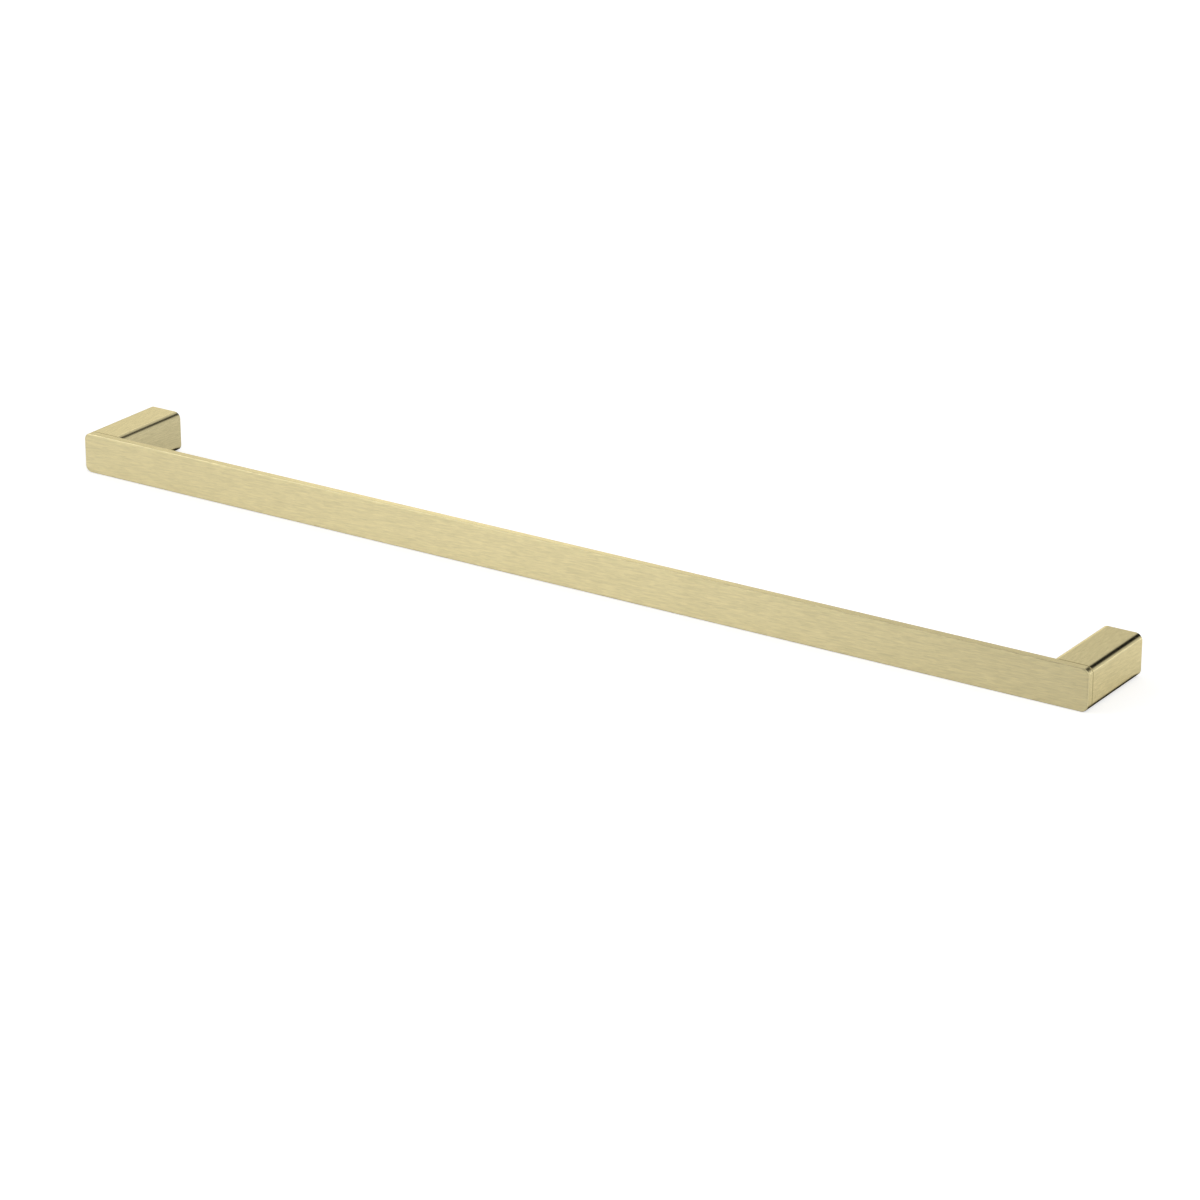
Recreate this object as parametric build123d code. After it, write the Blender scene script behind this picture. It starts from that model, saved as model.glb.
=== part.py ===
# Wall-mounted towel rail: a flat bar on two hollow square posts, each slid over a hidden wall bracket.
# The origin lies on the wall, midway between the posts and at the bar's mid height.
# +X runs along the bar to the right, +Y points into the wall and +Z is up. Depth is measured from the wall.
import os
from math import radians, sin, tan
from build123d import *

# Driving sizes in millimetres: the bar and the posts
post_spacing = 800.0
post_width = 30.0
rail_height = 30.0
projection = 75.0
bar_thickness = 6.0
corner_radius = 5.0
front_edge_radius = 0.8
joint_chamfer = 0.4
wall_edge_chamfer = 0.3

# Driving sizes: the pocket in each post
post_wall = 3.0
post_front_wall = 4.0
pocket_corner_radius = 2.0

# Driving sizes: the cap screws that hold the bar on the posts
bar_screw_diameter = 4.0
bar_screw_hole_clearance = 0.25
bar_screw_head_diameter = 7.0
bar_screw_head_height = 4.0
bar_screw_head_chamfer = 0.4
bar_screw_key_size = 3.0
bar_screw_key_depth = 2.0
bar_screw_driver_room = 2.5
bar_hole_skin = 1.5
bar_hole_end_room = 0.5

# Driving sizes: the wall brackets
bracket_depth = 12.0
bracket_clearance = 0.2
bracket_wall = 2.5
bracket_floor = 3.0
bracket_lead_in = 0.6
cup_corner_radius = 1.0
groove_depth = 1.2
wall_hole_diameter = 4.5
wall_screw_head_diameter = 8.0
wall_screw_head_clearance = 0.3

# Driving sizes: the grub screws, whose cone points match the grooves in the brackets
grub_diameter = 4.0
grub_point_angle = 90.0
grub_recess = 0.4
grub_point_radius = 0.3
grub_key_size = 2.0
grub_key_depth = 1.6
grub_hole_chamfer = 0.3
grub_seat_gap = 0.05
thread_clearance = 0.05

# Sizes that follow
rail_length = post_spacing + post_width
post_depth = projection - bar_thickness
pocket_width = post_width - 2 * post_wall
pocket_height = rail_height - 2 * post_wall
pocket_depth = post_depth - post_front_wall
bar_hole_depth = bar_thickness - bar_hole_skin
bar_screw_length = post_front_wall + bar_hole_depth - bar_hole_end_room
bar_screw_spacing = pocket_height - bar_screw_head_diameter - 2 * bar_screw_driver_room
bracket_width = pocket_width - 2 * bracket_clearance
bracket_height = pocket_height - 2 * bracket_clearance
cup_width = bracket_width - 2 * bracket_wall
cup_height = bracket_height - 2 * bracket_wall
wall_hole_spacing = cup_height - wall_screw_head_diameter - 2 * wall_screw_head_clearance
grub_depth = bracket_depth / 2
grub_point_slope = tan(radians(grub_point_angle / 2))

post_places = {"left": -post_spacing / 2, "right": post_spacing / 2}


def prism(section, depth, length):
    """Extrude a section drawn in X and Z towards the front, from a depth off the wall."""
    return extrude(Plane.XZ.offset(depth) * section, length)


def screw_pair(spacing):
    """Two places above and below the middle of a section."""
    return [Pos(0, spacing / 2), Pos(0, -spacing / 2)]


def hexagon(across_flats):
    """Section of a key socket."""
    return RegularPolygon(across_flats / 2, side_count=6, major_radius=False)


def cone(bottom_radius, top_radius, height):
    """Upright cone that stands on the origin."""
    return Cone(bottom_radius, top_radius, height, align=(Align.CENTER, Align.CENTER, Align.MIN))


def rail_bar():
    """Flat bar with rounded corners, a softened front edge and blind tapped holes behind each post."""
    bar = prism(RectangleRounded(rail_length, rail_height, corner_radius), post_depth, bar_thickness)
    bar = fillet(bar.faces().sort_by(Axis.Y)[0].edges(), front_edge_radius)
    bar = chamfer(bar.faces().sort_by(Axis.Y)[-1].edges(), joint_chamfer)
    hole = Circle(bar_screw_diameter / 2 + thread_clearance)
    for x in post_places.values():
        for place in screw_pair(bar_screw_spacing):
            bar -= prism(Pos(x) * place * hole, post_depth, bar_hole_depth)
    return bar


def post():
    """Hollow post, open at the wall, with a closed front that the cap screws pass through."""
    body = prism(RectangleRounded(post_width, rail_height, corner_radius), 0, post_depth)
    body = chamfer(body.faces().sort_by(Axis.Y)[0].edges(), joint_chamfer)
    body = chamfer(body.faces().sort_by(Axis.Y)[-1].edges(), wall_edge_chamfer)
    body -= prism(RectangleRounded(pocket_width, pocket_height, pocket_corner_radius), 0, pocket_depth)
    hole = Circle(bar_screw_diameter / 2 + bar_screw_hole_clearance)
    for place in screw_pair(bar_screw_spacing):
        body -= prism(place * hole, pocket_depth, post_front_wall)
    return body - grub_hole()


def grub_hole():
    """Tapped hole up through the post's underside, with a chamfered mouth."""
    radius = grub_diameter / 2 + thread_clearance
    bore = extrude(Circle(radius), post_wall)
    mouth = cone(radius + grub_hole_chamfer, radius, grub_hole_chamfer)
    return Pos(0, -grub_depth, -rail_height / 2) * (bore + mouth)


def bar_screw():
    """Cap screw with a key socket, its head against the inside of the post's closed front."""
    shank = prism(Circle(bar_screw_diameter / 2), 0, bar_screw_length)
    head = prism(Circle(bar_screw_head_diameter / 2), -bar_screw_head_height, bar_screw_head_height)
    head = chamfer(head.faces().sort_by(Axis.Y)[-1].edges(), bar_screw_head_chamfer)
    key = prism(hexagon(bar_screw_key_size), -bar_screw_head_height, bar_screw_key_depth)
    return shank + head - key


def wall_bracket():
    """Square cup with two wall screw holes in its floor and a groove across its underside."""
    outline = RectangleRounded(bracket_width, bracket_height, pocket_corner_radius)
    bracket = prism(outline, 0, bracket_depth)
    bracket = chamfer(bracket.faces().sort_by(Axis.Y)[0].edges(), bracket_lead_in)
    cup = RectangleRounded(cup_width, cup_height, cup_corner_radius)
    bracket -= prism(cup, bracket_floor, bracket_depth - bracket_floor)
    for place in screw_pair(wall_hole_spacing):
        bracket -= prism(place * Circle(wall_hole_diameter / 2), 0, bracket_floor)
    return bracket - Pos(0, -grub_depth, -bracket_height / 2) * grub_groove()


def grub_groove():
    """V groove along X, cut upwards from the origin, that takes the grub screw's point."""
    half_width = groove_depth * grub_point_slope
    section = Polygon((-half_width, 0), (half_width, 0), (0, groove_depth), align=None)
    return extrude(Plane.YZ * section, bracket_width / 2, both=True)


def grub_screw():
    """Cone point screw, recessed in the post's underside, its point in the bracket's groove."""
    radius = grub_diameter / 2
    head = -rail_height / 2 + grub_recess
    groove_bottom = -bracket_height / 2 + groove_depth
    seat_drop = grub_seat_gap / sin(radians(grub_point_angle / 2))
    shank_length = groove_bottom - seat_drop - radius / grub_point_slope - head
    point = cone(radius, grub_point_radius, (radius - grub_point_radius) / grub_point_slope)
    screw = extrude(Circle(radius), shank_length) + Pos(0, 0, shank_length) * point
    screw -= extrude(hexagon(grub_key_size), grub_key_depth)
    return Pos(0, -grub_depth, head) * screw


def bar_screws():
    """The cap screws of both posts, as separate solids."""
    return [
        Pos(x, -pocket_depth, z) * bar_screw()
        for x in post_places.values()
        for z in (bar_screw_spacing / 2, -bar_screw_spacing / 2)
    ]


def grub_screws():
    """The grub screws of both posts, as separate solids."""
    return [Pos(x, 0, 0) * grub_screw() for x in post_places.values()]


nodes = {"rail_bar": rail_bar()}
for side, x in post_places.items():
    nodes[f"{side}_post"] = Pos(x, 0, 0) * post()
    nodes[f"{side}_wall_bracket"] = Pos(x, 0, 0) * wall_bracket()
nodes["bar_screws"] = Compound(children=bar_screws())
nodes["grub_screws"] = Compound(children=grub_screws())

os.makedirs("parts", exist_ok=True)
for name, shape in nodes.items():
    shape.label = name
    export_step(shape, f"parts/{name}.step")
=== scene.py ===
from math import cos, radians, sin

import bpy
import numpy as np
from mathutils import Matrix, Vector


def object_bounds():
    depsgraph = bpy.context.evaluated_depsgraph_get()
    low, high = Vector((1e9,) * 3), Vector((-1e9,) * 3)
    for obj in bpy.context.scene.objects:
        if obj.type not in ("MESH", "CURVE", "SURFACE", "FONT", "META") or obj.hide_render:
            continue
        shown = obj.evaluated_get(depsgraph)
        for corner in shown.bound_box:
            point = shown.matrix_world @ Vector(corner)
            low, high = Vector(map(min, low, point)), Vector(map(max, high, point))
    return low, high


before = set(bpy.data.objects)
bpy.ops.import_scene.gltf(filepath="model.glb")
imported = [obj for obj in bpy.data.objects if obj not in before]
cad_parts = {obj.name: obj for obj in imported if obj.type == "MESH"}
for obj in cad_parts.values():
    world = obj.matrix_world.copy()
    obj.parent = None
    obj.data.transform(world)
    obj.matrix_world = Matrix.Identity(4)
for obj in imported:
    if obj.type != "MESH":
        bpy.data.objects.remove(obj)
cad_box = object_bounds()

# The rail bar: one flat length of solid brass, its corners rounded and its front edge softened.
# It is brushed on belts along its length, and from front to back on its two ends, so fine
# scratches run that way. Its broad faces are left duller than its narrow ones.
dark_brass = (0.700, 0.617, 0.358)
bright_brass = (0.860, 0.757, 0.441)
brass_glint = (1.0, 0.93, 0.72, 1)
brass_spread = (0.28, 0.72)
scratch_depth = 0.00001


def new_finish(name):
    """Empty material with its Principled shader. Gives the material, its node tree and the shader."""
    material = bpy.data.materials.new(name)
    material.use_nodes = True
    tree = material.node_tree
    return material, tree, tree.nodes["Principled BSDF"]


def tone_metal(tree, shader, pattern, spread, dark, bright):
    """Metal whose tone goes from dark to bright while a pattern goes from one end of its spread
    to the other."""
    tone = tree.nodes.new("ShaderNodeValToRGB")
    for stop, position, colour in zip(tone.color_ramp.elements, spread, (dark, bright)):
        stop.position = position
        stop.color = (*colour, 1)
    tree.links.new(pattern, tone.inputs["Fac"])
    tree.links.new(tone.outputs["Color"], shader.inputs["Base Color"])
    shader.inputs["Metallic"].default_value = 1.0


def raise_skin(tree, shader, pattern, depth, strength):
    """Skin that rises and falls with a pattern: its height is the pattern times depth, in metres,
    and strength is the share of it that shows."""
    relief = tree.nodes.new("ShaderNodeBump")
    relief.inputs["Distance"].default_value = depth
    relief.inputs["Strength"].default_value = strength
    tree.links.new(pattern, relief.inputs["Height"])
    tree.links.new(relief.outputs["Normal"], shader.inputs["Normal"])


def brushed_brass(name, scratch_steps, slant):
    """Brushed brass. The scratches are noise on Object coordinates, drawn out along one axis and
    slanted a little: scratch_steps gives the noise's steps per metre along X, Y and Z. They drive
    the tone of the brass and a shallow bump here, and the roughness where each piece sets it."""
    material, tree, shader = new_finish(name)
    place = tree.nodes.new("ShaderNodeTexCoord")
    slanted = tree.nodes.new("ShaderNodeMapping")
    slanted.inputs["Rotation"].default_value = slant
    tree.links.new(place.outputs["Object"], slanted.inputs["Vector"])
    drawn_out = tree.nodes.new("ShaderNodeMapping")
    drawn_out.inputs["Scale"].default_value = scratch_steps
    tree.links.new(slanted.outputs["Vector"], drawn_out.inputs["Vector"])

    noise = tree.nodes.new("ShaderNodeTexNoise")
    noise.inputs["Scale"].default_value = 1.0
    noise.inputs["Detail"].default_value = 3.0
    noise.inputs["Roughness"].default_value = 0.6
    noise.inputs["Distortion"].default_value = 0.5
    tree.links.new(drawn_out.outputs["Vector"], noise.inputs["Vector"])
    scratches = noise.outputs["Fac"]

    tone_metal(tree, shader, scratches, brass_spread, dark_brass, bright_brass)
    raise_skin(tree, shader, scratches, scratch_depth, strength=0.5)
    shader.inputs["Specular Tint"].default_value = brass_glint
    shader.inputs["Anisotropic Rotation"].default_value = 0.25
    return material, tree, shader, scratches


def split(tree, vector):
    """The X, Y and Z of a vector, each by itself."""
    node = tree.nodes.new("ShaderNodeSeparateXYZ")
    tree.links.new(vector, node.inputs["Vector"])
    return node.outputs


def change(tree, value, start, end, low, high, shape="LINEAR"):
    """Goes from low to high while a value goes from start to end, and stays level before and after."""
    node = tree.nodes.new("ShaderNodeMapRange")
    node.interpolation_type = shape
    node.inputs["From Min"].default_value = start
    node.inputs["From Max"].default_value = end
    node.inputs["To Min"].default_value = low
    node.inputs["To Max"].default_value = high
    tree.links.new(value, node.inputs["Value"])
    return node.outputs["Result"]


def combine(tree, operation, first, second):
    """Sum, difference, product or largest of two values."""
    node = tree.nodes.new("ShaderNodeMath")
    node.operation = operation
    tree.links.new(first, node.inputs[0])
    tree.links.new(second, node.inputs[1])
    return node.outputs["Value"]


def blend(tree, kind, share, first, second):
    """Goes from the first colour or vector to the second while share goes from 0 to 1."""
    node = tree.nodes.new("ShaderNodeMix")
    node.data_type = kind
    tree.links.new(share, node.inputs["Factor"])
    node.inputs["A"].default_value = first
    node.inputs["B"].default_value = second
    return node.outputs["Result"]


bar_brass, tree, shader, scratches = brushed_brass(
    "bar_brass", scratch_steps=(110, 1100, 1100), slant=(0, radians(2.5), 0)
)
facing = tree.nodes.new("ShaderNodeNewGeometry")
turned = tree.nodes.new("ShaderNodeVectorMath")
turned.operation = "ABSOLUTE"
tree.links.new(facing.outputs["Normal"], turned.inputs[0])
turned_to = split(tree, turned.outputs["Vector"])

narrow_dullness, broad_dullness, scratch_dullness = 0.17, 0.42, 0.03
noise_spread = (0.3, 0.7)
face_dullness = change(tree, turned_to["Y"], 0.1, 0.6, narrow_dullness, broad_dullness)
scratched = change(tree, scratches, *noise_spread, scratch_dullness, -scratch_dullness)
tree.links.new(combine(tree, "ADD", face_dullness, scratched), shader.inputs["Roughness"])

along_bar = (1, 0.02, 0.05)
front_to_back = (0.05, 1, 0.02)
on_ends = change(tree, turned_to["X"], 0.6, 0.8, 0.0, 1.0)
tree.links.new(blend(tree, "VECTOR", on_ends, along_bar, front_to_back), shader.inputs["Tangent"])
shader.inputs["Anisotropic"].default_value = 0.95
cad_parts["rail_bar"].material_slots[0].material = bar_brass

# The posts: square brass tube with rounded long edges, closed where it meets the bar and open at
# the wall. They are brushed along their length and butt square against the back of the bar. The
# fine groove of that joint is darkened with painted shade.
post_dullness = 0.18
bar_thickness = 0.006
joint = cad_box[0][1] + bar_thickness
shade_full = joint + 0.0003
shade_gone = joint + 0.0009
painted_joint_shade_colour = (0.66, 0.63, 0.56, 1)

post_brass, tree, shader, scratches = brushed_brass(
    "post_brass", scratch_steps=(1100, 110, 1100), slant=(radians(3), 0, radians(-3))
)
most_dull, least_dull = post_dullness + scratch_dullness, post_dullness - scratch_dullness
tree.links.new(change(tree, scratches, *noise_spread, most_dull, least_dull), shader.inputs["Roughness"])
brush = tree.nodes.new("ShaderNodeCombineXYZ")
for axis, share in zip("XYZ", front_to_back):
    brush.inputs[axis].default_value = share
tree.links.new(brush.outputs["Vector"], shader.inputs["Tangent"])
shader.inputs["Anisotropic"].default_value = 0.5

# Painted shade: the brass tone is multiplied darker in the joint's groove and fades out just behind the
# bar's back face.
place = tree.nodes.new("ShaderNodeTexCoord")
depth = split(tree, place.outputs["Object"])["Y"]
joint_shade = tree.nodes.new("ShaderNodeMix")
joint_shade.data_type = "RGBA"
joint_shade.blend_type = "MULTIPLY"
tree.links.new(change(tree, depth, shade_full, shade_gone, 1.0, 0.0), joint_shade.inputs["Factor"])
tree.links.new(shader.inputs["Base Color"].links[0].from_socket, joint_shade.inputs["A"])
joint_shade.inputs["B"].default_value = painted_joint_shade_colour
tree.links.new(joint_shade.outputs["Result"], shader.inputs["Base Color"])
for side in ("left", "right"):
    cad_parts[f"{side}_post"].material_slots[0].material = post_brass

# The cap screws: turned from stainless steel, two in each post, with a key socket in the head.
# They are driven from inside the post's closed front into blind tapped holes in the bar.


def steel(name, grain_steps, grain_detail, dark, bright, dullness):
    """Stainless steel whose tone follows its grain: noise on Object coordinates, with so many steps
    per metre."""
    material, tree, shader = new_finish(name)
    place = tree.nodes.new("ShaderNodeTexCoord")
    noise = tree.nodes.new("ShaderNodeTexNoise")
    noise.inputs["Scale"].default_value = grain_steps
    noise.inputs["Detail"].default_value = grain_detail
    tree.links.new(place.outputs["Object"], noise.inputs["Vector"])
    grain = noise.outputs["Fac"]
    tone_metal(tree, shader, grain, noise_spread, dark, bright)
    shader.inputs["Roughness"].default_value = dullness
    return material, tree, shader, grain


screw_steel = steel(
    "screw_steel_finish",
    grain_steps=2500.0,
    grain_detail=2.0,
    dark=(0.52, 0.52, 0.51),
    bright=(0.64, 0.64, 0.63),
    dullness=0.28,
)[0]
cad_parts["bar_screws"].material_slots[0].material = screw_steel

# The wall brackets: square cups of cast stainless steel, left with a fine grainy skin.
# Each is screwed to the wall, and the post that slides over it hides it.
bracket_steel, tree, shader, grain = steel(
    "bracket_steel_finish",
    grain_steps=1400.0,
    grain_detail=3.0,
    dark=(0.44, 0.44, 0.43),
    bright=(0.58, 0.58, 0.57),
    dullness=0.45,
)
raise_skin(tree, shader, grain, depth=0.00008, strength=0.6)
for side in ("left", "right"):
    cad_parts[f"{side}_wall_bracket"].material_slots[0].material = bracket_steel

# The grub screws: short stainless screws with a cone point, one in the underside of each post.
# The point seats in the groove across the bracket and draws the post against the wall.
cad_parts["grub_screws"].material_slots[0].material = screw_steel

# The studio floor: a plain white sweep that the rail lies on, so wide that its edge is never seen.
# It is lifted to white for the eye and keeps the rail's soft shadow. The metal mirrors it as grey,
# with painted light making it paler to the right of the rail, and a painted shadow making it
# black in the narrow gap where the rail rests.
floor_reach = 20.0
floor_gap = 0.0002
floor_height = cad_box[0][2] - floor_gap
rail_front = cad_box[0][1]
rail_right = cad_box[1][0]
steps = np.linspace(-floor_reach, floor_reach, 3)
across, along = np.meshgrid(steps, steps)
points = np.stack([across, along, np.full_like(across, floor_height)], axis=-1).reshape(-1, 3)
first_corners = np.array([0, 1, 3, 4])[:, None]
squares = first_corners + np.array([0, 1, 4, 3])
floor_mesh = bpy.data.meshes.new("studio_floor")
floor_mesh.from_pydata(points.tolist(), [], squares.tolist())
floor = bpy.data.objects.new("studio_floor", floor_mesh)
bpy.context.scene.collection.objects.link(floor)

floor_grey = (0.6, 0.6, 0.6, 1)
painted_gap_shadow = (0.02, 0.02, 0.02, 1)
gap_reach = 0.006
front_fade = 0.001
lift_to_white = 0.62
mirrored_left, painted_light_right_of_rail = 0.22, 0.36
floor_white, tree, shader = new_finish("floor_white")
shader.inputs["Roughness"].default_value = 1.0
shader.inputs["Specular IOR Level"].default_value = 0.0
shader.inputs["Emission Color"].default_value = (1, 1, 1, 1)
light_path = tree.nodes.new("ShaderNodeLightPath")
in_metal = light_path.outputs["Is Glossy Ray"]
place = tree.nodes.new("ShaderNodeTexCoord")
spot = split(tree, place.outputs["Object"])
open_floor = tree.nodes.new("ShaderNodeAmbientOcclusion")
open_floor.samples = 8
open_floor.inputs["Distance"].default_value = gap_reach

# Painted shadow: seen in the metal, the floor behind the rail's front face turns black where the rail
# hems it in.
behind_front = change(tree, spot["Y"], rail_front - front_fade, rail_front + front_fade, 0.0, 1.0)
covered = change(tree, open_floor.outputs["AO"], 0.7, 0.95, 1.0, 0.0)
in_painted_gap_shadow = combine(tree, "MULTIPLY", in_metal, combine(tree, "MULTIPLY", behind_front, covered))
tree.links.new(blend(tree, "RGBA", in_painted_gap_shadow, floor_grey, painted_gap_shadow), shader.inputs["Base Color"])

clear = combine(tree, "SUBTRACT", in_metal, in_painted_gap_shadow)
# Painted light: in the metal the floor's lift rises past the rail's right end, so the floor to its right
# shows paler.
metal_lift_with_painted_light = change(tree, spot["X"], rail_right - 0.010, rail_right + 0.015, mirrored_left, painted_light_right_of_rail)
to_eye = change(tree, light_path.outputs["Is Camera Ray"], 0.0, 1.0, 0.0, lift_to_white)
lift = combine(tree, "ADD", to_eye, combine(tree, "MULTIPLY", clear, metal_lift_with_painted_light))
tree.links.new(lift, shader.inputs["Emission Strength"])
floor_mesh.materials.append(floor_white)

# The studio light: pale walls all round, dimmer at the front left, where a tall strip light and the
# key light stand. A fill hangs high on the right. Behind the rail a black card and a small low box
# draw a dark and a bright line along the posts' edges. The eye sees plain white beyond the floor.
studio = bpy.data.worlds.new("studio")
bpy.context.scene.world = studio
studio.use_nodes = True
studio_tree = studio.node_tree
outwards = studio_tree.nodes.new("ShaderNodeTexCoord").outputs["Generated"]


def towards(direction):
    """How far the way outwards points in a direction: their dot product."""
    node = studio_tree.nodes.new("ShaderNodeVectorMath")
    node.operation = "DOT_PRODUCT"
    node.inputs[1].default_value = direction
    studio_tree.links.new(outwards, node.inputs[0])
    return node.outputs["Value"]


def patch(direction, inner, outer, within, beyond):
    """Round patch with a soft edge: one brightness within the inner angle of a direction, another
    beyond the outer one, in degrees. The angle is the arc cosine of the dot product."""
    angle = studio_tree.nodes.new("ShaderNodeMath")
    angle.operation = "ARCCOSINE"
    studio_tree.links.new(towards(direction), angle.inputs[0])
    return change(
        studio_tree, angle.outputs["Value"], radians(inner), radians(outer), within, beyond, "SMOOTHSTEP"
    )


wall_light, front_left_light = 0.66, 0.25
walls = change(studio_tree, towards((-0.42, -0.91, 0)), 0.1, 0.95, wall_light, front_left_light)
left_glow = patch((-0.85, 0.4, 0.34), 10, 40, within=0.2, beyond=0.0)
black_card = patch((0.19, 0.83, 0.52), 9, 25, within=0.0, beyond=1.0)
key_light = patch((-0.75, -0.433, 0.5), 8, 16, within=3.9, beyond=0.0)
low_box = patch((0.545, 0.837, -0.04), 4, 11, within=0.8, beyond=0.0)
fill_light = patch((0.75, -0.2, 0.63), 10, 45, within=0.7, beyond=0.0)

strip_light = 3.8
lies = split(studio_tree, outwards)
strip = change(studio_tree, lies["X"], -0.62, -0.55, 0.0, strip_light, "SMOOTHSTEP")
inner_edge = change(studio_tree, lies["X"], -0.545, -0.45, 1.0, 0.0, "SMOOTHSTEP")
dimmer_behind = change(studio_tree, lies["Y"], -0.15, 0.15, 1.0, 0.1, "SMOOTHSTEP")
dimmer_above = change(studio_tree, lies["Z"], 0.35, 0.7, 1.0, 0.18, "SMOOTHSTEP")
for limit in (inner_edge, dimmer_behind, dimmer_above):
    strip = combine(studio_tree, "MULTIPLY", strip, limit)

light = combine(studio_tree, "ADD", walls, left_glow)
light = combine(studio_tree, "MULTIPLY", light, black_card)
for lamp in (strip, key_light, low_box, fill_light):
    light = combine(studio_tree, "ADD", light, lamp)
to_eye = studio_tree.nodes.new("ShaderNodeLightPath").outputs["Is Camera Ray"]
light = combine(studio_tree, "MAXIMUM", light, to_eye)
background = studio_tree.nodes["Background"]
studio_tree.links.new(light, background.inputs["Strength"])
background.inputs["Color"].default_value = (1, 1, 1, 1)

# The camera: a long lens in front of the rail, to its right and above it, as the photograph is
# taken. Its place was fitted to the rail's outline, and so was its focal length, in pixels of the
# photograph.
camera_turn = radians(33.669)
camera_rise = radians(21.387)
camera_distance = 3.0306
camera_aim = np.array([-0.00867, -0.0003, -0.05339])
photo_width = 1200
focal_length = 4290
camera_data = bpy.data.cameras.new("photo_camera")
camera_data.lens = camera_data.sensor_width * focal_length / photo_width
camera = bpy.data.objects.new("photo_camera", camera_data)
towards_camera = np.array(
    [sin(camera_turn) * cos(camera_rise), -cos(camera_turn) * cos(camera_rise), sin(camera_rise)]
)
camera.location = camera_aim + camera_distance * towards_camera
camera.rotation_euler = (radians(90) - camera_rise, 0, camera_turn)
bpy.context.scene.collection.objects.link(camera)
bpy.context.scene.camera = camera
bpy.context.scene.view_settings.view_transform = "Standard"
